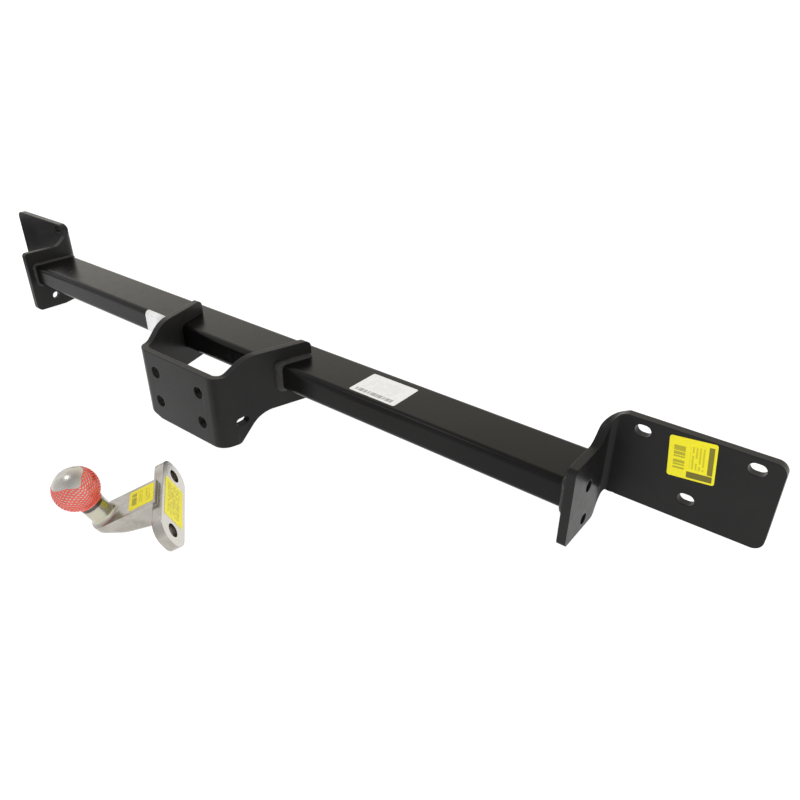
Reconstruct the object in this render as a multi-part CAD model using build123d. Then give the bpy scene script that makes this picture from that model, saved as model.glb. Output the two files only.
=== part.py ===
from build123d import *
import os
from math import asin, cos, degrees, pi, radians, sin, tan

os.makedirs("parts", exist_ok=True)

# A welded towbar: a rectangular cross tube, a folded bracket with a four-hole faceplate in its middle,
# a folded bracket on each end, and a bolt-on forged tow ball lying beside it.
# Millimetres. X runs along the tube, Y from the faceplate towards the vehicle, Z is up.
# The origin is the centre of the four-hole pattern on the faceplate's front face.

# plate, shared by the three folded brackets
plate = 10.0
bend_inner = 10.0
bend_outer = bend_inner + plate

# cross tube
tube_length = 1030.0
tube_depth = 75.0
tube_height = 36.0
tube_wall = 4.0
tube_corner = 7.6
tube_front = 84.2
tube_low = 12.0
tube_top = tube_low + tube_height
tube_rear = tube_front + tube_depth
tube_mid_y = tube_front + tube_depth / 2
tube_mid_z = tube_low + tube_height / 2

# faceplate and its holes
face_flat_half = 64.0
face_low = -52.0
face_high = 49.5
face_hole_x = 90.0
face_hole_z = 44.0
face_hole_r = 8.5
face_corner_in = 14.0
face_corner_up = 7.0
face_corner_fillet = 20.0

# cheeks of the centre bracket
cheek_splay = 16.6
cheek_top = 69.2
cheek_overlap = 48.8
cheek_rear = tube_front + cheek_overlap
cheek_rear_corner = 8.0
cheek_step_start = 19.0
cheek_step_end = 46.5
cheek_step_low_fillet = 15.0
cheek_step_high_fillet = 45.0
cheek_finger_low = -14.0
cheek_heel = 26.0
cheek_heel_corner = 8.0
cheek_heel_end = 56.5
cheek_heel_sweep = 38.0
tube_seat_gap = 0.3
cut_margin = 1.0

# cable slot in the right cheek
cable_slot_y = 31.3
cable_slot_z = -19.5
cable_slot_length = 17.0
cable_slot_height = 7.5
cable_slot_tilt = 12.0

# end brackets: what the two have in common
tube_end = tube_length / 2
flange_out = 173.4
flange_reach = tube_end + flange_out
flange_set_in = 3.2
flange_front = tube_rear - flange_set_in
flange_rear = flange_front + plate
flange_low = 4.3
flange_corner = 11.0
slot_length = 17.0
slot_height = 13.0
end_hole_r = 6.5
end_hole_z = 6.3
end_hole_spacing = 42.8

# the fold that joins an end plate to its flange
fold_inner = 7.0
fold_outer = fold_inner + plate
fold_x = tube_end + fold_outer
fold_y = flange_rear - fold_outer
fold_radius = fold_inner + plate / 2
fold_length = fold_radius * pi / 2

# the edges' climb through the fold, as lengths along the sheet before and after the fold starts
rise_before = 20.0
rise_after = 27.5
drop_before = 6.0
drop_after = 15.0
rise_steps = 11

# end brackets: what differs. How far each plate stands in front of the tube, its height, the flange's top,
# how far its holes lie behind the tube's front, and its slots as (place past the tube's end, height)
right_plate_lead = 4.8
right_plate_low = -28.4
right_plate_high = 66.5
right_flange_top = 101.7
right_hole_back = 35.3
left_plate_lead = 11.7
left_plate_low = -34.5
left_plate_high = 71.0
left_flange_top = 101.0
left_hole_back = 26.4
lower_slot_out = 96.1
lower_slot_z = 29.4
right_inner_slot_out = 41.6
right_outer_slot_out = 149.2
right_upper_slot_z = 89.0
left_inner_slot_out = 31.8
left_upper_slot_z = 92.0
right_end = dict(
    front=tube_front - right_plate_lead, low=right_plate_low, high=right_plate_high, top=right_flange_top,
    corner_low=5.0, corner_high=5.0, hole_y=tube_front + right_hole_back,
    slots=[
        (right_inner_slot_out, right_upper_slot_z),
        (right_outer_slot_out, right_upper_slot_z),
        (lower_slot_out, lower_slot_z),
    ],
)
left_end = dict(
    front=tube_front - left_plate_lead, low=left_plate_low, high=left_plate_high, top=left_flange_top,
    corner_low=9.0, corner_high=6.0, hole_y=tube_front + left_hole_back,
    slots=[(left_inner_slot_out, left_upper_slot_z), (lower_slot_out, lower_slot_z)],
)

# welds: how far each reaches up the plate and along the tube, and its bevel
end_weld_up = 7.5
end_weld_along = 5.0
end_weld_bevel = 4.0
end_weld_edge = 0.5
centre_weld_up = 6.5
centre_weld_front = 8.0
centre_weld_along = 6.0
centre_weld_bevel = 5.0

# labels
label_thick = 0.3
label_corner = 2.5
top_label_x = 254.2
top_label_back = 34.5
top_label_y = tube_front + top_label_back
top_label_length = 69.7
top_label_depth = 49.5
front_label_left = -185.0
front_label_right = -136.0
front_label_low = 28.7
flange_label_out = 92.7
flange_label_x = tube_end + flange_label_out
flange_label_z = 75.9
flange_label_size = 45.0
flange_label_turn = 6.5

# tow ball: sizes in its own frame, which has its origin at the ball's centre, x towards the flange,
# z up the ball's axis and y along the flange
ball_r = 25.0
ball_flat = 24.3
ball_widest_angle = 5.0
neck_r = 13.8
arm_top = 49.5
arm_width = 38.0
arm_end = 14.5
arm_end_corner = 13.5
arm_end_low = 50.5
arm_belly_x = 10.0
arm_belly_low = 78.0
arm_belly_fillet = 40.0
arm_foot_low = 93.0
arm_side_fillet = 12.5
belly_facing = -0.2
stem_flare_r = 19.5
stem_flare_depth = 2.5
ball_flange_back = 72.2
ball_flange_thick = 12.0
ball_flange_front = ball_flange_back - ball_flange_thick
ball_flange_mid = 77.0
ball_flange_length = 125.5
ball_flange_height = 45.2
ball_flange_corner = 19.0
ball_hole_spacing = 90.0
ball_hole_r = 8.5
ball_place = (65.7, -187.1, -10.5)
ball_yaw = 48.6
ball_pitch = 24.4
ball_roll = 7.7

# sleeve on the ball, from its slanting upper edge down to the neck
net_thick = 0.6
net_gap = 0.2
net_tilt_x = 4.9
net_tilt_y = 2.6
net_edge = 17.0
net_end = 33.0
net_rings = 12

# labels on the tow ball
arm_label_x = 48.3
arm_label_length = 31.5
arm_label_width = 30.0
back_label_length = 62.0
back_label_height = 35.0


def along_x(points, radii, x0, x1):
    """Prism along X of a closed outline given as (y, z) corners with a radius each."""
    line = Plane.YZ.offset(x0) * FilletPolyline(*points, radius=radii, close=True)
    return extrude(make_face(line), amount=x1 - x0, dir=(1, 0, 0))


def along_y(points, radii, y0, y1):
    """Prism along Y of a closed outline given as (x, z) corners with a radius each."""
    line = Plane.XZ.offset(-y0) * FilletPolyline(*points, radius=radii, close=True)
    return extrude(make_face(line), amount=y1 - y0, dir=(0, 1, 0))


def along_z(points, radii, z0, z1):
    """Prism along Z of a closed outline given as (x, y) corners with a radius each."""
    line = Plane.XY.offset(z0) * FilletPolyline(*points, radius=radii, close=True)
    return extrude(make_face(line), amount=z1 - z0, dir=(0, 0, 1))


def tube_prism(grow, x0, x1):
    """Solid rod of the tube's outer shape, grown all round, between two places along X."""
    outline = RectangleRounded(tube_depth + 2 * grow, tube_height + 2 * grow, tube_corner + grow)
    spot = Plane((x0, tube_mid_y, tube_mid_z), x_dir=(0, 1, 0), z_dir=(1, 0, 0))
    return extrude(spot * outline, amount=x1 - x0)


def hole_y(x, z, r, y0, y1):
    return extrude(Plane((x, y0, z), z_dir=(0, 1, 0)) * Circle(r), amount=y1 - y0)


def hole_x(y, z, r, x0, x1):
    return extrude(Plane((x0, y, z), z_dir=(1, 0, 0)) * Circle(r), amount=x1 - x0)


def make_tube():
    return tube_prism(0, -tube_end, tube_end) - tube_prism(-tube_wall, -tube_end, tube_end)


# centre bracket


def cheek_line(offset, y):
    """X of the right cheek's outer face, moved in by offset, at a given Y."""
    lean = radians(cheek_splay)
    x = face_flat_half + (bend_outer - offset) * cos(lean)
    y_tangent = bend_outer - (bend_outer - offset) * sin(lean)
    return x + (y - y_tangent) * tan(lean)


def make_centre_bracket():
    rear = cheek_rear + plate
    outer = [(-cheek_line(0, 0), 0), (cheek_line(0, 0), 0), (cheek_line(0, rear), rear)]
    inner = [(cheek_line(plate, rear), rear), (cheek_line(plate, plate), plate)]
    inner += [(-cheek_line(plate, plate), plate), (-cheek_line(plate, rear), rear)]
    plan = outer + inner + [(-cheek_line(0, rear), rear)]
    radii = [bend_outer, bend_outer, 0, 0, bend_inner, bend_inner, 0, 0]
    folded = along_z(plan, radii, face_low - plate, cheek_top + plate)
    reach = cheek_line(0, rear) + plate
    notch_low = tube_low - tube_seat_gap
    notch_high = tube_top + tube_seat_gap
    notch_front = tube_front - tube_seat_gap
    notch_corner = tube_corner + tube_seat_gap
    side = [
        (-cut_margin, face_high), (cheek_step_start, face_high),
        (cheek_step_end, cheek_top), (cheek_rear, cheek_top),
        (cheek_rear, notch_high), (notch_front, notch_high),
        (notch_front, notch_low), (cheek_rear, notch_low),
        (cheek_rear, cheek_finger_low), (cheek_heel_end, cheek_finger_low),
        (cheek_heel, face_low), (-cut_margin, face_low),
    ]
    side_radii = [
        0, cheek_step_low_fillet, cheek_step_high_fillet, cheek_rear_corner,
        0, notch_corner, notch_corner, 0,
        cheek_rear_corner, cheek_heel_sweep, cheek_heel_corner, 0,
    ]
    body = folded & along_x(side, side_radii, -reach, reach)
    corner_x = -(face_flat_half - face_corner_in)
    lower_left = [
        (corner_x, face_low), (-face_flat_half - plate, face_low + face_corner_up),
        (-reach, face_low + face_corner_up), (-reach, face_low - plate), (corner_x, face_low - plate),
    ]
    body -= along_y(lower_left, [0, face_corner_fillet, 0, 0, 0], -cut_margin, cheek_rear)
    for x in (-face_hole_x / 2, face_hole_x / 2):
        for z in (-face_hole_z / 2, face_hole_z / 2):
            body -= hole_y(x, z, face_hole_r, -cut_margin, plate + cut_margin)
    slot_plane = Plane((face_flat_half, cable_slot_y, cable_slot_z), x_dir=(0, 1, 0), z_dir=(1, 0, 0))
    slot = slot_plane * Rotation(0, 0, cable_slot_tilt) * SlotOverall(cable_slot_length, cable_slot_height)
    return body - extrude(slot, amount=reach - face_flat_half)


# end brackets


def bracket_blank(side, z0, z1):
    """The right-hand fold as a tall prism, before its outline is cut."""
    plan = [
        (tube_end + plate, side["front"]), (tube_end + plate, flange_front), (flange_reach, flange_front),
        (flange_reach, flange_rear), (tube_end, flange_rear), (tube_end, side["front"]),
    ]
    return along_z(plan, [0, fold_inner, 0, 0, fold_outer, 0], z0, z1)


def climb(place, start, end):
    """Smooth step from 0 to 1 between two places along the sheet."""
    share = min(max((place - start) / (end - start), 0), 1)
    return share * share * (3 - 2 * share)


def sheet_point(place, depth):
    """Plan position at a length along the sheet from the fold's start, and a depth from its convex face."""
    if place < 0:
        return tube_end + depth, fold_y + place
    if place > fold_length:
        return fold_x + place - fold_length, flange_rear - depth
    angle = place / fold_radius
    radius = fold_outer - depth
    return fold_x - radius * cos(angle), fold_y + radius * sin(angle)


def make_end_bracket(side):
    """One end bracket, built at the right-hand end."""
    step = (rise_before + rise_after) / rise_steps
    sections = []
    for count in range(rise_steps + 1):
        place = -rise_before + count * step
        low = side["low"] + (flange_low - side["low"]) * climb(place, -drop_before, drop_after)
        high = side["high"] + (side["top"] - side["high"]) * climb(place, -rise_before, rise_after)
        convex = sheet_point(place, -cut_margin)
        concave = sheet_point(place, plate + cut_margin)
        corners = [(*convex, low), (*concave, low), (*concave, high), (*convex, high)]
        sections.append(make_face(Polyline(*corners, close=True)))
    climbing = loft(sections)
    plate_end = fold_y - rise_before
    plate_outline = [
        (side["front"], side["low"]), (plate_end, side["low"]),
        (plate_end, side["high"]), (side["front"], side["high"]),
    ]
    plate_radii = [side["corner_low"], 0, 0, side["corner_high"]]
    flat_plate = along_x(plate_outline, plate_radii, tube_end - cut_margin, tube_end + plate + cut_margin)
    flange_start = sheet_point(rise_after, 0)[0]
    flange_outline = [
        (flange_start, flange_low), (flange_reach, flange_low),
        (flange_reach, side["top"]), (flange_start, side["top"]),
    ]
    flange_radii = [0, flange_corner, flange_corner, 0]
    flat_flange = along_y(flange_outline, flange_radii, flange_front - cut_margin, flange_rear + cut_margin)
    body = bracket_blank(side, side["low"], side["top"])
    body &= climbing + flat_plate + flat_flange
    for x, z in side["slots"]:
        spot = Plane((tube_end + x, flange_front - cut_margin, z), x_dir=(1, 0, 0), z_dir=(0, 1, 0))
        body -= extrude(spot * SlotOverall(slot_length, slot_height), amount=plate + 2 * cut_margin)
    for half in (-0.5, 0.5):
        z = end_hole_z + half * end_hole_spacing
        body -= hole_x(side["hole_y"], z, end_hole_r, tube_end - cut_margin, tube_end + plate + cut_margin)
    return body


def make_end_weld(side):
    """Weld round the tube's right-hand end, filling the hollow in front of the fold."""
    end_plane = Plane((tube_end - end_weld_along, tube_mid_y, tube_mid_z), x_dir=(0, 1, 0), z_dir=(1, 0, 0))
    reach = end_weld_up
    foot = RectangleRounded(tube_depth + 2 * reach, tube_height + 2 * reach, tube_corner + reach)
    bead = extrude(end_plane * foot, amount=end_weld_along + plate)
    bead = chamfer(bead.faces().sort_by(Axis.X)[0].edges(), end_weld_bevel)
    bead -= tube_prism(0, tube_end - 2 * end_weld_along, tube_end + 2 * plate)
    bead -= bracket_blank(side, tube_low - 2 * reach, tube_top + 2 * reach)
    front = side["front"] + end_weld_edge
    keep = Box(4 * plate, flange_rear - front, 2 * tube_height, align=(Align.CENTER, Align.MIN, Align.CENTER))
    bead &= Pos(tube_end, front, tube_mid_z) * keep
    return max(bead.solids(), key=lambda s: s.volume)


def make_centre_weld():
    """Weld on the outside of the right cheek, over, before and under the tube."""
    lean = radians(cheek_splay)
    y_tangent = bend_outer * (1 - sin(lean))
    foot_x = cheek_line(0, y_tangent)
    along = Vector(sin(lean), cos(lean), 0)
    normal = Vector(cos(lean), -sin(lean), 0)
    start = (tube_front - y_tangent) / cos(lean) - centre_weld_front
    end = (tube_rear - y_tangent) / cos(lean) + centre_weld_up
    spot = Vector(foot_x, y_tangent, tube_mid_z) + along * ((start + end) / 2)
    outline = RectangleRounded(end - start, tube_height + 2 * centre_weld_up, tube_corner + centre_weld_up)
    bead = extrude(Plane(spot, x_dir=along, z_dir=normal) * outline, amount=centre_weld_along)
    outer_face = bead.faces().sort_by(Axis(spot, normal))[-1]
    bead = chamfer(outer_face.edges(), centre_weld_bevel)
    bead -= tube_prism(0, 0, tube_end)
    bead &= Pos(0, 0, face_low) * Box(
        tube_length, 2 * cheek_rear, 3 * cheek_top, align=(Align.CENTER, Align.CENTER, Align.MIN)
    )
    return max(bead.solids(), key=lambda s: s.volume)


def mirrored(solid):
    return mirror(solid, about=Plane.YZ)


# labels on the bar


def make_tube_top_label():
    spot = Plane((top_label_x, top_label_y, tube_top), x_dir=(1, 0, 0), z_dir=(0, 0, 1))
    sheet = RectangleRounded(top_label_length, top_label_depth, label_corner)
    return extrude(spot * sheet, amount=label_thick)


def make_tube_front_label():
    """This one runs over the tube's rounded top corner."""
    skin = tube_prism(label_thick, front_label_left, front_label_right)
    skin -= tube_prism(0, front_label_left, front_label_right)
    middle = (front_label_left + front_label_right) / 2
    keep = Box(
        front_label_right - front_label_left, tube_corner + cut_margin,
        tube_top + cut_margin - front_label_low, align=(Align.CENTER, Align.MIN, Align.MIN),
    )
    return skin & Pos(middle, tube_front - cut_margin, front_label_low) * keep


def make_flange_label():
    turn = radians(flange_label_turn)
    place = (flange_label_x, flange_front, flange_label_z)
    spot = Plane(place, x_dir=(cos(turn), 0, sin(turn)), z_dir=(0, -1, 0))
    sheet = RectangleRounded(flange_label_size, flange_label_size, label_corner)
    return extrude(spot * sheet, amount=label_thick)


# tow ball


def ball_frame():
    """Plane at the ball's centre: x towards the flange, z up the ball's axis."""
    yaw, pitch, roll = radians(ball_yaw), radians(ball_pitch), radians(ball_roll)
    x_dir = Vector(cos(pitch) * cos(yaw), cos(pitch) * sin(yaw), sin(pitch))
    level = Vector(sin(yaw), -cos(yaw), 0)
    side = level * cos(roll) + x_dir.cross(level) * sin(roll)
    return Plane(Vector(ball_place), x_dir=x_dir, z_dir=side.cross(x_dir))


def ball_and_neck():
    """Ball, neck and the turned flare at the neck's foot, all round the ball's axis."""
    neck_z = -((ball_r**2 - neck_r**2) ** 0.5)
    flat_r = (ball_r**2 - ball_flat**2) ** 0.5
    widest = ball_r * cos(radians(ball_widest_angle)), ball_r * sin(radians(ball_widest_angle))
    flare = stem_flare_r - neck_r
    bend = flare * (1 - cos(radians(45)))
    foot = arm_top + stem_flare_depth
    line = Line((0, ball_flat), (flat_r, ball_flat))
    line += ThreePointArc((flat_r, ball_flat), widest, (neck_r, neck_z))
    line += Line((neck_r, neck_z), (neck_r, -arm_top + flare))
    line += ThreePointArc(
        (neck_r, -arm_top + flare), (neck_r + bend, -arm_top + bend), (stem_flare_r, -arm_top)
    )
    line += Line((stem_flare_r, -arm_top), (stem_flare_r, -foot))
    line += Line((stem_flare_r, -foot), (0, -foot))
    line += Line((0, -foot), (0, ball_flat))
    return revolve(Plane.XZ * make_face(line), axis=Axis.Z)


def arm_plan(z0, z1):
    """The forged arm seen along the ball's axis, as a tall prism."""
    root = ball_flange_front + ball_flange_thick / 2
    half = arm_width / 2
    plan = [(-arm_end, -half), (root, -half), (root, half), (-arm_end, half)]
    return along_z(plan, [arm_end_corner, 0, 0, arm_end_corner], z0, z1)


def make_arm():
    """Forged arm: flat on top, with a rounded belly that drops towards the flange.

    The belly is every face whose normal points further down than belly_facing.
    """
    root = ball_flange_front + ball_flange_thick / 2
    side = [
        (-2 * arm_end, -arm_top), (-2 * arm_end, -arm_end_low), (arm_belly_x, -arm_belly_low),
        (root, -arm_foot_low), (root, -arm_top),
    ]
    arm = arm_plan(-2 * arm_foot_low, 0) & along_y(side, [0, 0, arm_belly_fillet, 0, 0], -arm_width, arm_width)
    belly = [face for face in arm.faces() if face.normal_at().Z < belly_facing]
    rim = ShapeList()
    for face in belly:
        for edge in face.edges():
            shared = sum(1 for other in belly if any(edge.is_same(e) for e in other.edges()))
            if shared == 1 and (edge @ 0.5).X < ball_flange_front:
                rim.append(edge)
    return fillet(rim, arm_side_fillet)


def make_tow_ball():
    stem = ball_and_neck()
    above = arm_plan(-arm_top - stem_flare_depth, -arm_top + stem_flare_r) & stem
    turned = stem & Pos(0, 0, -arm_top + stem_flare_r - neck_r) * Box(
        4 * ball_r, 4 * ball_r, 4 * ball_r, align=(Align.CENTER, Align.CENTER, Align.MIN)
    )
    plan = RectangleRounded(ball_flange_length, ball_flange_height, ball_flange_corner)
    flange_plane = Plane((ball_flange_front, 0, -ball_flange_mid), x_dir=(0, 1, 0), z_dir=(1, 0, 0))
    body = turned + above + make_arm() + extrude(flange_plane * plan, amount=ball_flange_thick)
    for step in (-0.5, 0.5):
        spot = Plane((ball_flange_front - cut_margin, step * ball_hole_spacing, -ball_flange_mid), z_dir=(1, 0, 0))
        body -= extrude(spot * Circle(ball_hole_r), amount=ball_flange_thick + 2 * cut_margin)
    return ball_frame().location * body


def make_ball_net():
    """Sleeve over the lower ball and the neck, open at the top."""
    inner = ball_r + net_gap
    neck_in = neck_r + net_gap
    lowest = -degrees(asin(((inner**2 - neck_in**2) ** 0.5) / inner))
    highest = 90.0
    outside = []
    inside = []
    for step in range(net_rings + 1):
        angle = radians(lowest + (highest - lowest) * step / net_rings)
        inside.append((inner * cos(angle), inner * sin(angle)))
        outside.append(((inner + net_thick) * cos(angle), (inner + net_thick) * sin(angle)))
    inside[-1] = (0, inner)
    outside[-1] = (0, inner + net_thick)
    outline = [(neck_in + net_thick, -net_end)] + outside + inside[::-1] + [(neck_in, -net_end)]
    skin = revolve(Plane.XZ * make_face(Polyline(*outline, close=True)), axis=Axis.Z)
    cap = Rotation(net_tilt_y, net_tilt_x, 0) * Pos(0, 0, net_edge) * Box(
        4 * inner, 4 * inner, 2 * inner, align=(Align.CENTER, Align.CENTER, Align.MIN)
    )
    skin -= cap
    return ball_frame().location * max(skin.solids(), key=lambda s: s.volume)


def make_ball_flange_label():
    spot = Plane((ball_flange_back, 0, -ball_flange_mid), x_dir=(0, 1, 0), z_dir=(1, 0, 0))
    sheet = RectangleRounded(back_label_length, back_label_height, label_corner)
    return ball_frame().location * extrude(spot * sheet, amount=label_thick)


def make_arm_label():
    spot = Plane((arm_label_x, 0, -arm_top), x_dir=(1, 0, 0), z_dir=(0, 0, 1))
    sheet = RectangleRounded(arm_label_length, arm_label_width, label_corner)
    return ball_frame().location * extrude(spot * sheet, amount=label_thick)


nodes = {
    "cross_tube": make_tube(),
    "centre_bracket": make_centre_bracket(),
    "right_end_bracket": make_end_bracket(right_end),
    "left_end_bracket": mirrored(make_end_bracket(left_end)),
    "right_end_weld": make_end_weld(right_end),
    "left_end_weld": mirrored(make_end_weld(left_end)),
    "centre_weld_right": make_centre_weld(),
    "centre_weld_left": mirrored(make_centre_weld()),
    "tow_ball": make_tow_ball(),
    "ball_net": make_ball_net(),
    "tube_top_label": make_tube_top_label(),
    "tube_front_label": make_tube_front_label(),
    "flange_label": make_flange_label(),
    "ball_flange_label": make_ball_flange_label(),
    "arm_label": make_arm_label(),
}

for name, shape in nodes.items():
    export_step(shape, f"parts/{name}.step")
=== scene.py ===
import bpy
import bmesh
import math
from mathutils import Matrix, Vector


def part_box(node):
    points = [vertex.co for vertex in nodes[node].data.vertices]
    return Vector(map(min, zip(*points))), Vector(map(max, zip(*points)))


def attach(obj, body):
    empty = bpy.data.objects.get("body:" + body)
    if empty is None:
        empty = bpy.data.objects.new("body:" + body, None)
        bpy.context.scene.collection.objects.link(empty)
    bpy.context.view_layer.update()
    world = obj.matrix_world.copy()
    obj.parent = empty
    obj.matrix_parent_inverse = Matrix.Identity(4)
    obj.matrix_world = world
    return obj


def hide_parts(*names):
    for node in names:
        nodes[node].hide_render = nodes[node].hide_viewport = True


# The towbar as photographed: a black welded bar on a pale floor, with its loose forged tow ball in front.

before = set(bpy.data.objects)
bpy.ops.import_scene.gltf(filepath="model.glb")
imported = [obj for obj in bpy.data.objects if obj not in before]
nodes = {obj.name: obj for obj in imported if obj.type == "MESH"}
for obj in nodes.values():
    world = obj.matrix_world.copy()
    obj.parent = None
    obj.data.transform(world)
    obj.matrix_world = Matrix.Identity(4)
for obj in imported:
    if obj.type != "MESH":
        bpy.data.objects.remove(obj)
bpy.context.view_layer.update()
scene = bpy.context.scene
MM = 0.001

# camera

CAMERA_PLACE = (0.72574, -0.45839, 0.45799)
CAMERA_TURN = math.radians(37.71)
CAMERA_DIP = math.radians(29.68)
CAMERA_ROLL = math.radians(0.50)
CAMERA_SENSOR = 36.0
CAMERA_LENS = 31.414
CAMERA_NEAREST = 0.01
CAMERA_FARTHEST = 200.0


def make_camera():
    """Camera at the photograph's place, turned to the left, dipped and rolled a little."""
    forward = Vector((
        -math.sin(CAMERA_TURN) * math.cos(CAMERA_DIP),
        math.cos(CAMERA_TURN) * math.cos(CAMERA_DIP),
        -math.sin(CAMERA_DIP),
    ))
    level = Vector((math.cos(CAMERA_TURN), math.sin(CAMERA_TURN), 0.0))
    above = level.cross(forward)
    right = level * math.cos(CAMERA_ROLL) + above * math.sin(CAMERA_ROLL)
    up = above * math.cos(CAMERA_ROLL) - level * math.sin(CAMERA_ROLL)
    data = bpy.data.cameras.new("camera")
    data.sensor_width = CAMERA_SENSOR
    data.lens = CAMERA_LENS
    data.clip_start = CAMERA_NEAREST
    data.clip_end = CAMERA_FARTHEST
    camera = bpy.data.objects.new("camera", data)
    turn = Matrix((right, up, -forward)).transposed().to_4x4()
    camera.matrix_world = Matrix.Translation(CAMERA_PLACE) @ turn
    scene.collection.objects.link(camera)
    scene.camera = camera


make_camera()

# sizes repeated from the solids, in metres

TUBE_END = 515.0 * MM
TUBE_FRONT = 84.2 * MM
TUBE_DEPTH = 75.0 * MM
TUBE_LOW = 12.0 * MM
TUBE_HEIGHT = 36.0 * MM
TUBE_CORNER = 7.6 * MM
FOLD_OUTER = 17.0 * MM
FOLD_MOST = 0.98 * FOLD_OUTER
FOLD_X = 532.0 * MM
FOLD_Y = 149.0 * MM
FACE_HALF = 64.0 * MM
CHEEK_BEND = 20.0 * MM
CHEEK_REAR = 133.0 * MM
CHEEK_SPLAY = math.radians(16.6)
RIGHT_PLATE_LEAD = 4.8 * MM
LEFT_PLATE_LEAD = 11.7 * MM

BALL_PLACE = Vector((65.7, -187.1, -10.5)) * MM
BALL_YAW = math.radians(48.6)
BALL_PITCH = math.radians(24.4)
BALL_ROLL = math.radians(7.7)


def ball_frame():
    """Matrix of the tow ball's own frame: x towards its flange, z up the ball's axis."""
    x_dir = Vector((
        math.cos(BALL_PITCH) * math.cos(BALL_YAW),
        math.cos(BALL_PITCH) * math.sin(BALL_YAW),
        math.sin(BALL_PITCH),
    ))
    level = Vector((math.sin(BALL_YAW), -math.cos(BALL_YAW), 0.0))
    side = level * math.cos(BALL_ROLL) + x_dir.cross(level) * math.sin(BALL_ROLL)
    z_dir = side.cross(x_dir)
    turn = Matrix((x_dir, -side, z_dir)).transposed().to_4x4()
    return Matrix.Translation(BALL_PLACE) @ turn


BALL_FRAME = ball_frame()
ball_x, ball_y, ball_z = (tuple(BALL_FRAME.col[axis][:3]) for axis in range(3))

# places on the tow ball that its material tells apart, in millimetres along its own frame's axes,
# from the ball's middle, or for the flange's back from the sticker on it

# painted shade inside the flange's two bolt holes, round their axes
BALL_HOLE_DOWN = 77.0
BALL_HOLE_ASIDE = 45.0
BALL_HOLE_SHADE = 8.7
# the ball's paler skin: partly machined, partly a painted sheen
BALL_SKIN_R = 26.0
FLANGE_BACK_FROM = -0.5
NECK_MIDDLE = -38.0
NECK_HALF_HEIGHT = 9.0
NECK_HALF_WIDTH = 17.0
# painted shadow: a dark band round one side of the neck, just under the net sleeve
SHADOW_STRIP_MIDDLE = -25.4
SHADOW_STRIP_HALF_HEIGHT = 2.2
SHADOW_STRIP_FROM = -3.0

# shader nodes; a noise is given as its scale, detail and roughness

NOISE_LOW = 0.3
NOISE_HIGH = 0.7
EDGE_SAMPLES = 8


def new_material(name):
    material = bpy.data.materials.new(name)
    material.use_nodes = True
    return material, material.node_tree.nodes["Principled BSDF"]


def object_place(tree):
    """The object's own coordinates, from one node that the whole material shares."""
    place = tree.nodes.get("place") or tree.nodes.new("ShaderNodeTexCoord")
    place.name = "place"
    return place.outputs["Object"]


def noise(tree, scale, detail, roughness):
    node = tree.nodes.new("ShaderNodeTexNoise")
    node.inputs["Scale"].default_value = scale
    node.inputs["Detail"].default_value = detail
    node.inputs["Roughness"].default_value = roughness
    tree.links.new(object_place(tree), node.inputs["Vector"])
    return node.outputs["Fac"]


def ramp(tree, source, stops):
    node = tree.nodes.new("ShaderNodeValToRGB")
    tree.links.new(source, node.inputs["Fac"])
    steps = node.color_ramp.elements
    while len(steps) < len(stops):
        steps.new(0.5)
    for step, (place, colour) in zip(steps, stops):
        step.position = place
        step.color = (*colour, 1.0)
    return node.outputs["Color"]


def spread(tree, source, low, high, to_low, to_high):
    """A value's range stretched or squeezed to another range."""
    node = tree.nodes.new("ShaderNodeMapRange")
    tree.links.new(source, node.inputs["Value"])
    node.inputs["From Min"].default_value = low
    node.inputs["From Max"].default_value = high
    node.inputs["To Min"].default_value = to_low
    node.inputs["To Max"].default_value = to_high
    return node.outputs["Result"]


def bump(tree, source, distance, under=None):
    node = tree.nodes.new("ShaderNodeBump")
    node.inputs["Distance"].default_value = distance
    node.inputs["Strength"].default_value = 1.0
    tree.links.new(source, node.inputs["Height"])
    if under is not None:
        tree.links.new(under, node.inputs["Normal"])
    return node.outputs["Normal"]


def soft_edge(tree, radius):
    node = tree.nodes.new("ShaderNodeBevel")
    node.samples = EDGE_SAMPLES
    node.inputs["Radius"].default_value = radius
    return node.outputs["Normal"]


def blend(tree, share, under, colour):
    """One colour laid over another node's colour, by a share from 0 to 1."""
    node = tree.nodes.new("ShaderNodeMix")
    node.data_type = "RGBA"
    tree.links.new(share, node.inputs["Factor"])
    tree.links.new(under, node.inputs["A"])
    node.inputs["B"].default_value = (*colour, 1.0)
    return node.outputs["Result"]


def calc(tree, operation, *values):
    """Math node; each value is a number or another node's output."""
    node = tree.nodes.new("ShaderNodeMath")
    node.operation = operation
    for socket, value in zip(node.inputs, values):
        if isinstance(value, (int, float)):
            socket.default_value = value
        else:
            tree.links.new(value, socket)
    return node.outputs["Value"]


def squares(tree, *values):
    """Sum of the values' squares."""
    total = 0.0
    for value in values:
        total = calc(tree, "MULTIPLY_ADD", value, value, total)
    return total


def along(tree, origin, direction):
    """Distance in millimetres from a point along a direction, read from the object's own coordinates."""
    offset = tree.nodes.new("ShaderNodeVectorMath")
    offset.operation = "SUBTRACT"
    tree.links.new(object_place(tree), offset.inputs[0])
    offset.inputs[1].default_value = origin
    dot = tree.nodes.new("ShaderNodeVectorMath")
    dot.operation = "DOT_PRODUCT"
    tree.links.new(offset.outputs["Vector"], dot.inputs[0])
    dot.inputs[1].default_value = direction
    return calc(tree, "DIVIDE", dot.outputs["Value"], MM)


def middle(node):
    low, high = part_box(node)
    return (low + high) / 2


# steel and plastic

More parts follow.
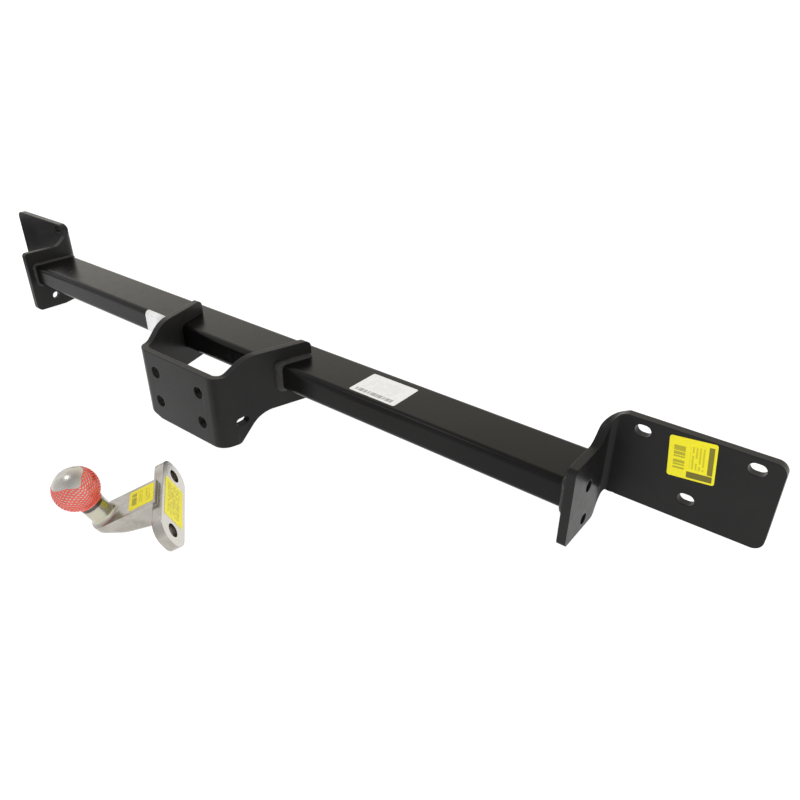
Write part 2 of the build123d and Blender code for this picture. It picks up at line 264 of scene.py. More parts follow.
COAT_CLOUDS = (9.0, 4.0, 0.6)
COAT_SMEARS = (60.0, 3.0, 0.6)
COAT_PEEL = (900.0, 2.0, 0.5)
COAT_PEEL_DEPTH = 0.04 * MM
COAT_EDGE = 1.6 * MM
COAT_SPECULAR = 0.15
COAT_DARK = (0.0110, 0.0110, 0.0110)
COAT_LIGHT = (0.0190, 0.0187, 0.0180)
COAT_ROUGH = (0.27, 0.35)
TUBE_DARK = (0.0030, 0.0030, 0.0030)
TUBE_LIGHT = (0.0062, 0.0060, 0.0056)
TUBE_ROUGH = (0.20, 0.28)

WELD_CLOUDS = (120.0, 4.0, 0.6)
WELD_TONES = [(0.3, (0.010, 0.010, 0.010)), (0.75, (0.020, 0.019, 0.018))]
WELD_ROUGH = 0.36
WELD_SPECULAR = 0.3
WELD_GRAIN = (700.0, 3.0, 0.6)
WELD_GRAIN_DEPTH = 0.15 * MM

FORGED_CLOUDS = (45.0, 5.0, 0.6)
FORGED_TONES = [(0.3, (0.32, 0.295, 0.255)), (0.55, (0.425, 0.405, 0.37)), (0.8, (0.50, 0.49, 0.47))]
FORGED_SMEARS = (150.0, 3.0, 0.6)
FORGED_ROUGH = (0.18, 0.30)
FORGED_EDGE = 1.2 * MM
FORGED_GRAIN = (420.0, 3.0, 0.6)
FORGED_GRAIN_DEPTH = 0.12 * MM
# painted shade in the flange's bolt holes
HOLE_SHADE_COLOUR = (0.06, 0.05, 0.04)
HOLE_SHADE_SHARE = 0.62
# paler machined skin, partly a painted sheen standing in for the brighter reflections of the ball and the
# flange's back
MACHINED_AND_SHEEN_COLOUR = (0.60, 0.58, 0.54)
MACHINED_AND_SHEEN_BALL_SHARE = 0.4
MACHINED_AND_SHEEN_BACK_SHARE = 0.9
NECK_COLOUR = (0.60, 0.59, 0.40)
NECK_SHARE = 0.40
# colour of the painted shadow on the neck under the net sleeve
SHADOW_STRIP_COLOUR = (0.05, 0.035, 0.03)
SHADOW_STRIP_SHARE = 0.85

RED_CLOUDS = (200.0, 3.0, 0.5)
RED_TONES = [(0.3, (0.68, 0.075, 0.050)), (0.7, (0.84, 0.125, 0.085))]
RED_ROUGH = 0.35
RED_GRAIN = (900.0, 3.0, 0.5)
RED_GRAIN_DEPTH = 0.04 * MM


def coated_steel(name, dark, light, smooth, dull):
    """Satin black powder coat: a fine orange peel, faint clouding and softened edges."""
    material, shader = new_material(name)
    tree = material.node_tree
    colour = ramp(tree, noise(tree, *COAT_CLOUDS), [(NOISE_LOW, dark), (NOISE_HIGH, light)])
    tree.links.new(colour, shader.inputs["Base Color"])
    rough = spread(tree, noise(tree, *COAT_SMEARS), NOISE_LOW, NOISE_HIGH, smooth, dull)
    tree.links.new(rough, shader.inputs["Roughness"])
    shader.inputs["Specular IOR Level"].default_value = COAT_SPECULAR
    grain = bump(tree, noise(tree, *COAT_PEEL), COAT_PEEL_DEPTH, soft_edge(tree, COAT_EDGE))
    tree.links.new(grain, shader.inputs["Normal"])
    return material


def coated_weld():
    """The same coat over the beads, a little rougher."""
    material, shader = new_material("coated_weld")
    tree = material.node_tree
    tree.links.new(ramp(tree, noise(tree, *WELD_CLOUDS), WELD_TONES), shader.inputs["Base Color"])
    shader.inputs["Roughness"].default_value = WELD_ROUGH
    shader.inputs["Specular IOR Level"].default_value = WELD_SPECULAR
    tree.links.new(bump(tree, noise(tree, *WELD_GRAIN), WELD_GRAIN_DEPTH), shader.inputs["Normal"])
    return material


def forged_steel():
    """Plated forging, yellowish on the neck, with painted shade in its holes, a painted shadow band on the
    neck under the net, and paler on the ball and the flange's back, partly machined skin and partly a painted
    sheen.
    """
    material, shader = new_material("forged_steel")
    tree = material.node_tree
    forward = along(tree, BALL_PLACE, ball_x)
    across = along(tree, BALL_PLACE, ball_y)
    above = along(tree, BALL_PLACE, ball_z)

    # painted shade on the walls of the flange's two bolt holes
    aside = calc(tree, "SUBTRACT", calc(tree, "ABSOLUTE", across), BALL_HOLE_ASIDE)
    down = calc(tree, "ADD", above, BALL_HOLE_DOWN)
    in_hole_shade = calc(tree, "LESS_THAN", squares(tree, aside, down), BALL_HOLE_SHADE**2)

    on_ball = calc(tree, "LESS_THAN", squares(tree, forward, across, above), BALL_SKIN_R**2)
    behind = along(tree, middle("ball_flange_label"), ball_x)
    on_back = calc(tree, "GREATER_THAN", behind, FLANGE_BACK_FROM)
    # paler ball and flange back: partly machined skin, partly a painted sheen
    machined_and_sheen = calc(
        tree, "MAXIMUM",
        calc(tree, "MULTIPLY", on_ball, MACHINED_AND_SHEEN_BALL_SHARE),
        calc(tree, "MULTIPLY", on_back, MACHINED_AND_SHEEN_BACK_SHARE),
    )

    on_neck = calc(
        tree, "MULTIPLY",
        calc(tree, "COMPARE", above, NECK_MIDDLE, NECK_HALF_HEIGHT),
        calc(tree, "COMPARE", forward, 0.0, NECK_HALF_WIDTH),
    )
    # painted shadow band on the neck just under the net sleeve
    net_shadow = calc(
        tree, "MULTIPLY",
        calc(tree, "COMPARE", above, SHADOW_STRIP_MIDDLE, SHADOW_STRIP_HALF_HEIGHT),
        calc(tree, "LESS_THAN", across, SHADOW_STRIP_FROM),
    )

    colour = ramp(tree, noise(tree, *FORGED_CLOUDS), FORGED_TONES)
    colour = blend(tree, calc(tree, "MULTIPLY", in_hole_shade, HOLE_SHADE_SHARE), colour, HOLE_SHADE_COLOUR)
    colour = blend(tree, machined_and_sheen, colour, MACHINED_AND_SHEEN_COLOUR)
    colour = blend(tree, calc(tree, "MULTIPLY", on_neck, NECK_SHARE), colour, NECK_COLOUR)
    colour = blend(tree, calc(tree, "MULTIPLY", net_shadow, SHADOW_STRIP_SHARE), colour, SHADOW_STRIP_COLOUR)
    tree.links.new(colour, shader.inputs["Base Color"])
    shader.inputs["Metallic"].default_value = 1.0
    rough = spread(tree, noise(tree, *FORGED_SMEARS), NOISE_LOW, NOISE_HIGH, *FORGED_ROUGH)
    tree.links.new(rough, shader.inputs["Roughness"])
    grain = bump(tree, noise(tree, *FORGED_GRAIN), FORGED_GRAIN_DEPTH, soft_edge(tree, FORGED_EDGE))
    tree.links.new(grain, shader.inputs["Normal"])
    return material


def red_plastic():
    """Plain red plastic of the net sleeve."""
    material, shader = new_material("red_plastic")
    tree = material.node_tree
    tree.links.new(ramp(tree, noise(tree, *RED_CLOUDS), RED_TONES), shader.inputs["Base Color"])
    shader.inputs["Roughness"].default_value = RED_ROUGH
    tree.links.new(bump(tree, noise(tree, *RED_GRAIN), RED_GRAIN_DEPTH), shader.inputs["Normal"])
    return material


# labels: plain stock with generic bars, blocks and lines, and no lettering

BLANK_SHARE = 0.30
LINE_PRINTED_SHARE = 0.52
DASH_LENGTH = 0.8
PAPER_CLOUDS = (300.0, 3.0, 0.5)
PAPER_SHADE = 0.93
PAPER_ROUGH = 0.38
PAPER_SPECULAR = 0.3
WHITE = (0.93, 0.93, 0.93)
YELLOW = (0.93, 0.83, 0.014)
GREY_INK = (0.16, 0.16, 0.165)
BROWN_INK = (0.045, 0.038, 0.015)
X_DIR = (1.0, 0.0, 0.0)
Y_DIR = (0.0, 1.0, 0.0)
Z_DIR = (0.0, 0.0, 1.0)
FLANGE_LABEL_TURN = math.radians(6.5)
FLANGE_LABEL_U = (math.cos(FLANGE_LABEL_TURN), 0.0, math.sin(FLANGE_LABEL_TURN))
FLANGE_LABEL_V = (-math.sin(FLANGE_LABEL_TURN), 0.0, math.cos(FLANGE_LABEL_TURN))


def chance(tree, *cells):
    """Random number from 0 to 1 for each cell, given one or two cell numbers."""
    node = tree.nodes.new("ShaderNodeTexWhiteNoise")
    node.noise_dimensions = "2D"
    both = tree.nodes.new("ShaderNodeCombineXYZ")
    for socket, value in zip(both.inputs, cells):
        tree.links.new(value, socket)
    tree.links.new(both.outputs["Vector"], node.inputs["Vector"])
    return node.outputs["Value"]


def mark(tree, u, v, box, style="solid", pitch=1.0, turned=False, strength=1.0):
    """One printed mark inside box (u0, v0, u1, v1), in millimetres: a solid block, a row of bars,
    or broken lines of small dashes."""
    u0, v0, u1, v1 = box
    within_u = calc(tree, "COMPARE", u, (u0 + u1) / 2, (u1 - u0) / 2)
    within_v = calc(tree, "COMPARE", v, (v0 + v1) / 2, (v1 - v0) / 2)
    inside = calc(tree, "MULTIPLY", within_u, within_v)
    across, down = (v, u) if turned else (u, v)
    if style == "bars":
        cell = calc(tree, "FLOOR", calc(tree, "DIVIDE", across, pitch))
        dark = calc(tree, "GREATER_THAN", chance(tree, cell), BLANK_SHARE)
        inside = calc(tree, "MULTIPLY", inside, dark)
    if style == "lines":
        row = calc(tree, "DIVIDE", down, pitch)
        line = calc(tree, "LESS_THAN", calc(tree, "FRACT", row), LINE_PRINTED_SHARE)
        cell = calc(tree, "FLOOR", calc(tree, "DIVIDE", across, DASH_LENGTH * pitch))
        dark = calc(tree, "GREATER_THAN", chance(tree, cell, calc(tree, "FLOOR", row)), BLANK_SHARE)
        inside = calc(tree, "MULTIPLY", inside, calc(tree, "MULTIPLY", line, dark))
    return calc(tree, "MULTIPLY", inside, strength)


def paper(name, base, ink, node, u_dir, v_dir, marks):
    """Printed label material, laid out from the middle of its node."""
    material, shader = new_material(name)
    tree = material.node_tree
    darker = tuple(PAPER_SHADE * c for c in base)
    stock = ramp(tree, noise(tree, *PAPER_CLOUDS), [(NOISE_LOW, darker), (NOISE_HIGH, base)])
    u = along(tree, middle(node), u_dir)
    v = along(tree, middle(node), v_dir)
    printed = mark(tree, u, v, **marks[0])
    for settings in marks[1:]:
        printed = calc(tree, "MAXIMUM", printed, mark(tree, u, v, **settings))
    tree.links.new(blend(tree, printed, stock, ink), shader.inputs["Base Color"])
    shader.inputs["Roughness"].default_value = PAPER_ROUGH
    shader.inputs["Specular IOR Level"].default_value = PAPER_SPECULAR
    return material


tube_steel = coated_steel("tube_steel", TUBE_DARK, TUBE_LIGHT, *TUBE_ROUGH)
steel = coated_steel("coated_steel", COAT_DARK, COAT_LIGHT, *COAT_ROUGH)
weld = coated_weld()
forged = forged_steel()
net_red = red_plastic()

top_paper = paper(
    "top_paper", WHITE, GREY_INK, "tube_top_label", X_DIR, Y_DIR,
    [
        dict(box=(-29, -21, 27, -14), style="bars", pitch=0.65, strength=0.66),
        dict(box=(-26, -10, 20, 16), style="lines", pitch=4.2, strength=0.10),
    ],
)
front_paper = paper(
    "front_paper", WHITE, GREY_INK, "tube_front_label", X_DIR, Z_DIR,
    [dict(box=(-20, -7, 20, 5), style="lines", pitch=3.6, strength=0.12)],
)
flange_paper = paper(
    "flange_paper", YELLOW, BROWN_INK, "flange_label", FLANGE_LABEL_U, FLANGE_LABEL_V,
    [
        dict(box=(-17.5, -13, -6.5, -3), style="bars", pitch=0.9, turned=True, strength=0.50),
        dict(box=(-17.5, 0, -6.5, 13), style="bars", pitch=0.9, turned=True, strength=0.50),
        dict(box=(-2, -10, 13, 15), style="lines", pitch=3.3, turned=True, strength=0.32),
        dict(box=(15, -12.5, 20, 18), strength=0.80),
        dict(box=(-4, -20.5, 20, -13.5), strength=0.86),
    ],
)
arm_paper = paper(
    "arm_paper", YELLOW, BROWN_INK, "arm_label", ball_x, ball_y,
    [
        dict(box=(-12, -9, -6, 10), style="bars", pitch=1.5, turned=True, strength=0.55),
        dict(box=(-4, -10, 2, 11), style="lines", pitch=2.4, turned=True, strength=0.35),
        dict(box=(5, -10, 11, 10), style="lines", pitch=2.0, turned=True, strength=0.45),
    ],
)
back_paper = paper(
    "back_paper", YELLOW, BROWN_INK, "ball_flange_label", ball_y, ball_z,
    [dict(box=(-25, -12, 25, 12), style="lines", pitch=2.6, strength=0.45)],
)

for name, material in (
    ("cross_tube", tube_steel),
    ("centre_bracket", steel),
    ("right_end_bracket", steel),
    ("left_end_bracket", steel),
    ("tow_ball", forged),
    ("tube_top_label", top_paper),
    ("tube_front_label", front_paper),
    ("flange_label", flange_paper),
    ("arm_label", arm_paper),
    ("ball_flange_label", back_paper),
):
    nodes[name].data.materials.clear()
    nodes[name].data.materials.append(material)

# meshes


def new_piece(name, mesh, material=None):
    """Object made from a bmesh, which is freed."""
    data = bpy.data.meshes.new(name)
    mesh.to_mesh(data)
    mesh.free()
    if material is not None:
        data.materials.append(material)
    piece = bpy.data.objects.new(name, data)
    scene.collection.objects.link(piece)
    return piece


def shade_smooth(data):
    data.polygons.foreach_set("use_smooth", [True] * len(data.polygons))


def thicken(piece, thickness, offset):
    wall = piece.modifiers.new("wall", "SOLIDIFY")
    wall.thickness = thickness
    wall.offset = offset


# weld beads

BEAD_PITCH = 2.9 * MM
BEAD_STATION = 0.48 * MM
BEAD_CROWN = 0.9 * MM
BEAD_RIPPLE = 0.34 * MM
BEAD_SINK = 0.15 * MM
BEAD_STEPS = 9
BEAD_CORNER_SPREAD = 0.30
BEAD_LUMP_SPREAD = 0.25
BEAD_LUMP_RISE = 1.6
BEAD_UNEVEN = 0.07
BEAD_SWEEP = 0.45
BEAD_DRIFT = 0.12
BEAD_END_SCALE = 0.35
BEAD_END_RUN = 3.0 * MM
BEAD_SHARP = math.radians(55)
BEAD_SCALLOP = 0.7
WOBBLE_LONG = 7.3 * MM
WOBBLE_LONG_SHARE = 0.6
WOBBLE_SHORT = 3.1 * MM
WOBBLE_SHORT_SHARE = 0.4

END_BEAD_ALONG = 4.6 * MM
END_BEAD_MARGIN = 0.7 * MM
END_BEAD_REAR_SHARE = 0.58
RIGHT_END_REACH = 6.6 * MM
LEFT_END_REACH = 4.2 * MM
CHEEK_FRONT_ALONG = 9.0 * MM
CHEEK_TOP_ALONG = 6.8 * MM
CHEEK_BEAD_REACH = 5.2 * MM
CHEEK_BEAD_STOP = CHEEK_REAR - 0.6 * MM


def tube_outline():
    """Stations round the tube's outline: distance run, y, z and the outward normal there."""
    half_y = TUBE_DEPTH / 2 - TUBE_CORNER
    half_z = TUBE_HEIGHT / 2 - TUBE_CORNER
    mid_y = TUBE_FRONT + TUBE_DEPTH / 2
    mid_z = TUBE_LOW + TUBE_HEIGHT / 2
    arc = TUBE_CORNER * math.pi / 2
    runs = [
        ("line", (half_y, half_z), (-half_y, half_z), (0, 1)),
        ("arc", (-half_y, half_z), math.pi / 2, None),
        ("line", (-half_y, half_z), (-half_y, -half_z), (-1, 0)),
        ("arc", (-half_y, -half_z), math.pi, None),
        ("line", (-half_y, -half_z), (half_y, -half_z), (0, -1)),
        ("arc", (half_y, -half_z), 1.5 * math.pi, None),
        ("line", (half_y, -half_z), (half_y, half_z), (1, 0)),
        ("arc", (half_y, half_z), 0.0, None),
    ]
    stations = []
    travelled = 0.0
    for kind, a, b, normal in runs:
        size = arc if kind == "arc" else math.dist(a, b)
        count = max(2, round(size / BEAD_STATION))
        for step in range(count):
            share = step / count
            if kind == "arc":
                angle = b + share * math.pi / 2
                out = (math.cos(angle), math.sin(angle))
                centre = a
            else:
                out = normal
                centre = (a[0] + (b[0] - a[0]) * share, a[1] + (b[1] - a[1]) * share)
            y = mid_y + centre[0] + TUBE_CORNER * out[0]
            z = mid_z + centre[1] + TUBE_CORNER * out[1]
            stations.append((travelled + share * size, y, z, out))
        travelled += size
    return stations


def wobble(distance, seed):
    """Slow unevenness along a bead, about -1 to 1."""
    long_wave = math.sin(distance / WOBBLE_LONG + seed)
    short_wave = math.sin(distance / WOBBLE_SHORT + 2.3 * seed)
    return WOBBLE_LONG_SHARE * long_wave + WOBBLE_SHORT_SHARE * short_wave


def bead_section(station, sheet, toe, reach, side, seed, scale):
    """Points of one cross-section, from the toe on the tube to the toe on the sheet, then the hidden root."""
    distance, y, z, (ny, nz) = station
    corner = 2 * abs(ny * nz)
    lump = corner ** 2 if ny < 0 < nz else 0.0
    uneven = BEAD_UNEVEN * wobble(distance, seed)
    wide = reach(ny) * (1 + BEAD_CORNER_SPREAD * corner + BEAD_LUMP_SPREAD * lump + uneven) * scale
    far_y = y + wide * ny
    on_tube = Vector((toe(y), y - BEAD_SINK * ny, z - BEAD_SINK * nz))
    root = Vector((sheet(y), y - BEAD_SINK * ny, z - BEAD_SINK * nz))
    on_sheet = Vector((sheet(far_y), far_y, z + wide * nz))
    on_tube = root.lerp(on_tube, scale)
    chord = on_sheet - on_tube
    run = Vector((0.0, -nz, ny))
    lift = chord.cross(run).normalized()
    if lift.dot(on_tube + on_sheet - 2 * root) < 0:
        lift = -lift
    points = []
    for step in range(BEAD_STEPS + 1):
        share = step / BEAD_STEPS
        belly = math.sin(math.pi * share)
        sweep = BEAD_SWEEP * (2 * share - 1) ** 2
        phase = distance / BEAD_PITCH + sweep + BEAD_DRIFT * wobble(distance, seed + 4)
        scallop = abs(math.sin(math.pi * phase)) ** BEAD_SCALLOP
        height = BEAD_CROWN * belly * (1 + BEAD_LUMP_RISE * lump) + BEAD_RIPPLE * scallop * belly ** 0.5
        point = on_tube.lerp(on_sheet, share) + lift * height * scale
        points.append(Vector((side * point.x, point.y, point.z)))
    points.append(Vector((side * root.x, root.y, root.z)))
    return points


def make_bead(name, node, stations, closed, sheet, toe, reach, side, seed):
    """Skin of a weld bead through its cross-sections, standing for one CAD node."""
    mesh = bmesh.new()
    start = stations[0][0]
    run = stations[-1][0] - start
    rings = []
    for station in stations:
        scale = 1.0
        if not closed:
            to_end = min(station[0] - start, run - station[0] + start)
            grown = math.sqrt(max(to_end, 0.0) / BEAD_END_RUN)
            scale = min(1.0, BEAD_END_SCALE + (1 - BEAD_END_SCALE) * grown)
        section = bead_section(station, sheet, toe, reach, side, seed, scale)
        rings.append([mesh.verts.new(point) for point in section])
    following = rings[1:] + rings[:1] if closed else rings[1:]
    for here, there in zip(rings, following):
        for k in range(len(here)):
            after = (k + 1) % len(here)
            mesh.faces.new((here[k], here[after], there[after], there[k]))
    if not closed:
        mesh.faces.new(rings[0])
        mesh.faces.new(rings[-1][::-1])
    bmesh.ops.recalc_face_normals(mesh, faces=mesh.faces)
    bead = new_piece(name, mesh, weld)
    shade_smooth(bead.data)
    bead.data.set_sharp_from_angle(angle=BEAD_SHARP)
    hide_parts(node)
    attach(bead, "root")


def plate_face(y):
    """X of the end bracket's convex face, straight along the plate and then round the fold."""
    if y <= FOLD_Y:
        return TUBE_END
    rise = min(y - FOLD_Y, FOLD_MOST)
    return FOLD_X - math.sqrt(FOLD_OUTER**2 - rise**2)


def plate_toe(y):
    """Where an end bead ends on the tube, the same all round."""
    return TUBE_END - END_BEAD_ALONG


def plate_reach(lead, widest):
    """How far an end bead spreads over the plate, by the outline's direction there."""
    front = min(lead - END_BEAD_MARGIN, widest)
    rear = END_BEAD_REAR_SHARE * widest

    def reach(ny):
        if ny > 0:
            return widest + (rear - widest) * ny
        return widest + (front - widest) * -ny
    return reach


def cheek_face(y):
    """X of the centre bracket's outer face."""
    tangent_x = FACE_HALF + CHEEK_BEND * math.cos(CHEEK_SPLAY)
    tangent_y = CHEEK_BEND * (1 - math.sin(CHEEK_SPLAY))
    return tangent_x + (y - tangent_y) * math.tan(CHEEK_SPLAY)


def cheek_toe(y):
    """Where a cheek's bead ends on the tube: furthest along its front, less on its top and underside."""
    behind = min(max((y - TUBE_FRONT) / TUBE_CORNER, 0.0), 1.0)
    return cheek_face(y) + CHEEK_FRONT_ALONG + (CHEEK_TOP_ALONG - CHEEK_FRONT_ALONG) * behind


def cheek_reach(ny):
    """How far a cheek's bead spreads over the cheek, the same all round."""
    return CHEEK_BEAD_REACH


round_tube = tube_outline()
before_rear = [station for station in round_tube if station[1] < CHEEK_BEAD_STOP]
for word, side, lead, widest, seed in (
    ("right", 1, RIGHT_PLATE_LEAD, RIGHT_END_REACH, 0.4),
    ("left", -1, LEFT_PLATE_LEAD, LEFT_END_REACH, 2.9),
):
    make_bead(
        f"{word}_end_bead", f"{word}_end_weld", round_tube, True,
        plate_face, plate_toe, plate_reach(lead, widest), side, seed,
    )
    make_bead(
        f"centre_bead_{word}", f"centre_weld_{word}", before_rear, False,
        cheek_face, cheek_toe, cheek_reach, side, seed + 1.7,
    )

# front label, down round the tube's lower corner

FRONT_LABEL_LEFT = -185.0 * MM
FRONT_LABEL_RIGHT = -136.0 * MM
FRONT_LABEL_THICK = 0.3 * MM
FRONT_LABEL_WALL = 0.8 * FRONT_LABEL_THICK
FRONT_LABEL_CORNER = 3.5 * MM
FRONT_LABEL_BACK = TUBE_FRONT + 0.9 * TUBE_CORNER
FRONT_LABEL_DOWNWARD = -0.8
FRONT_LABEL_FORWARD = -0.05


def make_front_label():
    """Sheet of paper that follows the tube's section from its upper corner to its lower one."""
    stations = [
        (distance, y, z, ny, nz) for distance, y, z, (ny, nz) in round_tube
        if y < FRONT_LABEL_BACK and nz > FRONT_LABEL_DOWNWARD and ny < FRONT_LABEL_FORWARD
    ]
    start = stations[0][0]
    mesh = bmesh.new()
    pairs = []
    for distance, y, z, ny, nz in stations:
        down = min(distance - start, FRONT_LABEL_CORNER)
        inset = FRONT_LABEL_CORNER - math.sqrt(FRONT_LABEL_CORNER**2 - (FRONT_LABEL_CORNER - down) ** 2)
        out_y = y + FRONT_LABEL_THICK * ny
        out_z = z + FRONT_LABEL_THICK * nz
        pairs.append([
            mesh.verts.new((x, out_y, out_z)) for x in (FRONT_LABEL_LEFT + inset, FRONT_LABEL_RIGHT)
        ])
    for (a, b), (c, d) in zip(pairs, pairs[1:]):
        mesh.faces.new((a, c, d, b))
    sheet = new_piece("front_label_sheet", mesh, front_paper)
    shade_smooth(sheet.data)
    thicken(sheet, FRONT_LABEL_WALL, -1.0)
    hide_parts("tube_front_label")
    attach(sheet, "root")


make_front_label()

# net sleeve on the ball

NET_R = 25.2 * MM
NET_NECK_R = 14.2 * MM
NET_COLUMNS = 25
NET_ROWS = 22
NET_HOLE = 0.53
NET_HOLE_SIDES = 0.84
NET_RIM_HOLE = 0.30
NET_RIM_FROM = 0.9 * NET_ROWS
NET_THICK = 0.35 * MM
NET_JOIN = 0.02 * MM
NET_EDGE = 16.2 * MM
NET_EDGE_LEAN = 1.9 * MM
NET_LEAN_AT = math.radians(-125)
NET_EDGE_DIP = 5.6 * MM
NET_DIP_AT = math.radians(-48)
NET_DIP_WIDTH = math.radians(20)
NET_END = -25.0 * MM
NET_END_TILT = 2.5 * MM
NET_END_AT = math.radians(-75)


def net_point(share, turn):
    """Point of the sleeve at a share of the way down, from its drawn upper edge over the ball to the neck."""
    away = (turn - NET_DIP_AT + math.pi) % (2 * math.pi) - math.pi
    dip = NET_EDGE_DIP * math.exp(-(away / NET_DIP_WIDTH) ** 2)
    edge = NET_EDGE + NET_EDGE_LEAN * math.cos(turn - NET_LEAN_AT) - dip
    edge_angle = math.asin(edge / NET_R)
    neck_angle = -math.acos(NET_NECK_R / NET_R)
    neck_z = NET_R * math.sin(neck_angle)
    end = NET_END + NET_END_TILT * math.cos(turn - NET_END_AT)
    over_ball = NET_R * (edge_angle - neck_angle)
    distance = share * (over_ball + neck_z - end)
    if distance < over_ball:
        angle = edge_angle - distance / NET_R
        radius = NET_R * math.cos(angle)
        height = NET_R * math.sin(angle)
    else:
        radius = NET_NECK_R
        height = neck_z - (distance - over_ball)
    return Vector((radius * math.cos(turn), radius * math.sin(turn), height))


def diamond(hole):
    """Outer and inner ring of one cell, as (across, down) in columns and rows."""
    corners = [(0.5, 0.0), (0.0, 1.0), (-0.5, 0.0), (0.0, -1.0)]
    outer = []
    for a, b in zip(corners, corners[1:] + corners[:1]):
        outer += [a, ((a[0] + b[0]) / 2, (a[1] + b[1]) / 2)]
    inner = []
    for k in range(len(outer)):
        angle = k * 2 * math.pi / len(outer)
        radius = hole if k % 2 == 0 else NET_HOLE_SIDES * hole
        inner.append((0.5 * radius * math.cos(angle), radius * math.sin(angle)))
    return outer, inner


def make_net():
    """Sleeve of diamond mesh: each cell is a diamond of sheet with a rounded hole in it."""
    mesh = bmesh.new()
    for row in range(NET_ROWS + 1):
        rings = diamond(NET_HOLE if 0 < row < NET_RIM_FROM else NET_RIM_HOLE)
        for count in range(NET_COLUMNS):
            middle_at = count + 0.5 * (row % 2)
            outer, inner = (
                [mesh.verts.new((middle_at + across, row + down, 0.0)) for across, down in ring]
                for ring in rings
            )
            for k in range(len(outer)):
                after = (k + 1) % len(outer)
                mesh.faces.new((outer[k], outer[after], inner[after], inner[k]))
    for cut, outward in ((0.0, -1.0), (float(NET_ROWS), 1.0)):
        everything = mesh.verts[:] + mesh.edges[:] + mesh.faces[:]
        bmesh.ops.bisect_plane(
            mesh, geom=everything, plane_co=(0.0, cut, 0.0), plane_no=(0.0, outward, 0.0), clear_outer=True,
        )
    for vertex in mesh.verts:
        across, down, _ = vertex.co
        vertex.co = BALL_FRAME @ net_point(down / NET_ROWS, across * 2 * math.pi / NET_COLUMNS)
    bmesh.ops.remove_doubles(mesh, verts=mesh.verts, dist=NET_JOIN)
    bmesh.ops.recalc_face_normals(mesh, faces=mesh.faces)
    net = new_piece("net_sleeve", mesh, net_red)
    thicken(net, NET_THICK, 0.0)
    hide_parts("ball_net")
    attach(net, "root")


make_net()

# centre bracket with its cable slot at the height that the photograph shows

SLOT_PLACE = Vector((64.0, 31.6, -18.6)) * MM
SLOT_LENGTH = 17.5 * MM
SLOT_HEIGHT = 11.0 * MM
SLOT_TILT = math.radians(12)
SLOT_THROUGH = 60.0 * MM
SLOT_ARC_STEPS = 8
BRACKET_JOIN = 0.002 * MM
BRACKET_SHARP = math.radians(30)
BRACKET_NORMAL_WEIGHT = 90


def slot_cutter():
    """Rod along X with the cable slot's outline."""
    mesh = bmesh.new()
    half = (SLOT_LENGTH - SLOT_HEIGHT) / 2
    points = []
    for centre, start in ((half, -90), (-half, 90)):
        for step in range(SLOT_ARC_STEPS + 1):
            angle = math.radians(start + step * 180 / SLOT_ARC_STEPS)
            y = centre + SLOT_HEIGHT / 2 * math.cos(angle)
            z = SLOT_HEIGHT / 2 * math.sin(angle)
            turned_y = y * math.cos(SLOT_TILT) - z * math.sin(SLOT_TILT)
            turned_z = y * math.sin(SLOT_TILT) + z * math.cos(SLOT_TILT)
            points.append(SLOT_PLACE + Vector((0.0, turned_y, turned_z)))
    face = mesh.faces.new([mesh.verts.new(point) for point in points])
    raised = bmesh.ops.extrude_face_region(mesh, geom=[face])
    moved = [item for item in raised["geom"] if isinstance(item, bmesh.types.BMVert)]
    bmesh.ops.translate(mesh, verts=moved, vec=(SLOT_THROUGH, 0.0, 0.0))
    bmesh.ops.recalc_face_normals(mesh, faces=mesh.faces)
    return new_piece("slot_cutter", mesh)


def recut_bracket():
    """Copy of the centre bracket with the taller cable slot cut in it, standing for the CAD node."""
    mesh = bmesh.new()
    mesh.from_mesh(nodes["centre_bracket"].data)
    bmesh.ops.remove_doubles(mesh, verts=mesh.verts, dist=BRACKET_JOIN)
    piece = new_piece("centre_bracket_slotted", mesh, steel)
    cutter = slot_cutter()
    cut = piece.modifiers.new("cut", "BOOLEAN")
    cut.operation = "DIFFERENCE"
    cut.solver = "EXACT"
    cut.object = cutter
    bpy.context.view_layer.update()
    done = bpy.data.meshes.new_from_object(piece.evaluated_get(bpy.context.evaluated_depsgraph_get()))
    piece.modifiers.clear()
    piece.data = done
    bpy.data.objects.remove(cutter)
    shade_smooth(done)
    done.set_sharp_from_angle(angle=BRACKET_SHARP)
    weighted = piece.modifiers.new("weighted", "WEIGHTED_NORMAL")
    weighted.keep_sharp = True
    weighted.weight = BRACKET_NORMAL_WEIGHT
    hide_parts("centre_bracket")
    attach(piece, "root")


recut_bracket()

# floor and light

FLOOR_AT = Vector((0.0, 0.026, -0.052))
FLOOR_SLOPE = 0.177
FLOOR_HALF = 30.0
FLOOR_GREY = 0.30
FLOOR_ROUGH = 0.9
FLOOR_SPECULAR = 0.1
FLOOR_GLOW = 0.92
CARD_MIDDLE = Vector((-0.86, 0.02, -0.02))
CARD_HALF_DEPTH = 0.18
CARD_HALF_HEIGHT = 0.07
CARD_GREY = 0.02
KEY_PLACE = Vector((-0.72, -0.62, 1.7))
KEY_SIZE = 0.60
KEY_POWER = 2.8
WORLD_COLOURS = [
    (0.15, (0.72, 0.72, 0.73)),
    (0.50, (0.98, 0.98, 0.98)),
    (0.72, (1.0, 0.955, 0.87)),
    (0.95, (0.98, 0.93, 0.83)),
]
WORLD_AT_HORIZON = 1.35
WORLD_OVERHEAD_LOSS = 0.75


def stage_sheet(name, look, corners, grey, roughness):
    """Four-cornered sheet of one grey, with its shader for further settings."""
    data = bpy.data.meshes.new(name)
    data.from_pydata(corners, [], [(0, 1, 2, 3)])
    material, shader = new_material(look)
    shader.inputs["Base Color"].default_value = (grey, grey, grey, 1.0)
    shader.inputs["Roughness"].default_value = roughness
    data.materials.append(material)
    sheet = bpy.data.objects.new(name, data)
    scene.collection.objects.link(sheet)
    return sheet, shader


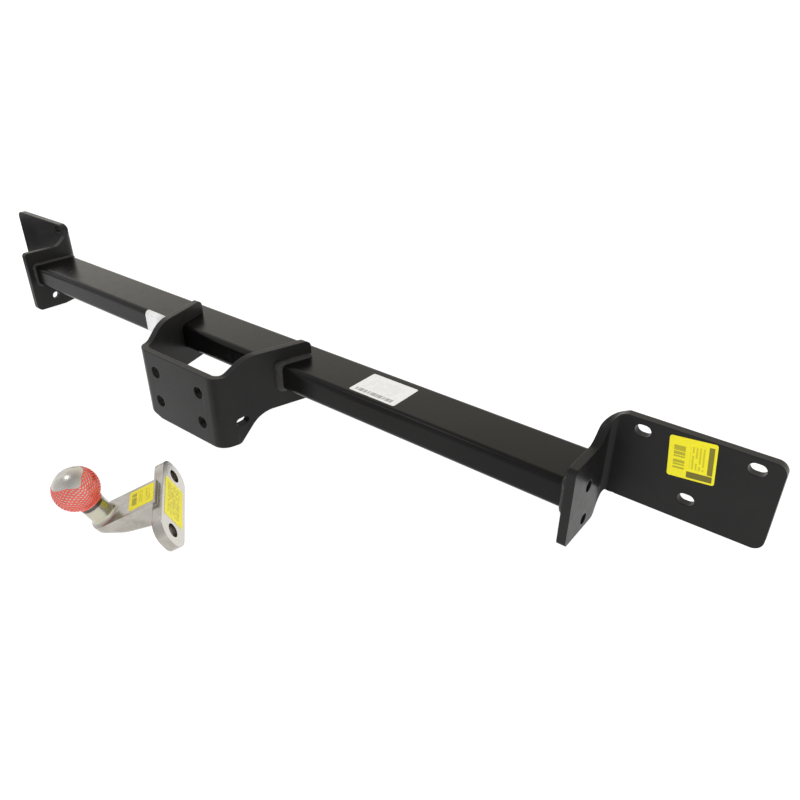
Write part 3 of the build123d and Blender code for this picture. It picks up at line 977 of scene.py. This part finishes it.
def make_floor():
    """Pale floor, sloping as the bar stands in its own frame, with a faint glow of its own."""
    around = ((-1, -1), (1, -1), (1, 1), (-1, 1))
    corners = [(FLOOR_HALF * x, FLOOR_HALF * y, FLOOR_SLOPE * FLOOR_HALF * y) for x, y in around]
    floor, shader = stage_sheet("floor", "pale_floor", corners, FLOOR_GREY, FLOOR_ROUGH)
    floor.location = FLOOR_AT
    shader.inputs["Specular IOR Level"].default_value = FLOOR_SPECULAR
    shader.inputs["Emission Color"].default_value = (1.0, 1.0, 1.0, 1.0)
    shader.inputs["Emission Strength"].default_value = FLOOR_GLOW


def make_card():
    """Black card that only mirrors in glossy surfaces, beyond the left edge of the picture."""
    across = Vector((0.0, CARD_HALF_DEPTH, 0.0))
    up = Vector((0.0, 0.0, CARD_HALF_HEIGHT))
    corners = [CARD_MIDDLE + corner for corner in (-across - up, across - up, across + up, up - across)]
    card, _ = stage_sheet("left_card", "black_card", corners, CARD_GREY, 1.0)
    card.visible_camera = False
    card.visible_diffuse = False
    card.visible_shadow = False


def make_world():
    """Soft surroundings: pale low down, dimmer overhead and behind the camera, warmer behind the bar."""
    world = bpy.data.worlds.new("studio")
    world.use_nodes = True
    tree = world.node_tree
    place = tree.nodes.new("ShaderNodeTexCoord")
    split = tree.nodes.new("ShaderNodeSeparateXYZ")
    tree.links.new(place.outputs["Generated"], split.inputs["Vector"])
    towards_back = spread(tree, split.outputs["Y"], -1.0, 1.0, 0.0, 1.0)
    background = tree.nodes["Background"]
    tree.links.new(ramp(tree, towards_back, WORLD_COLOURS), background.inputs["Color"])
    overhead = calc(tree, "MULTIPLY", squares(tree, split.outputs["Z"]), WORLD_OVERHEAD_LOSS)
    tree.links.new(calc(tree, "SUBTRACT", WORLD_AT_HORIZON, overhead), background.inputs["Strength"])
    scene.world = world
    scene.view_settings.view_transform = "Standard"


def make_key_light():
    """Round soft light high on the left, aimed at the faceplate."""
    data = bpy.data.lights.new("key", "AREA")
    data.shape = "DISK"
    data.size = KEY_SIZE
    data.energy = KEY_POWER
    light = bpy.data.objects.new("key", data)
    light.location = KEY_PLACE
    light.rotation_euler = (-KEY_PLACE).to_track_quat("-Z", "Y").to_euler()
    scene.collection.objects.link(light)


make_floor()
make_world()
make_card()
make_key_light()
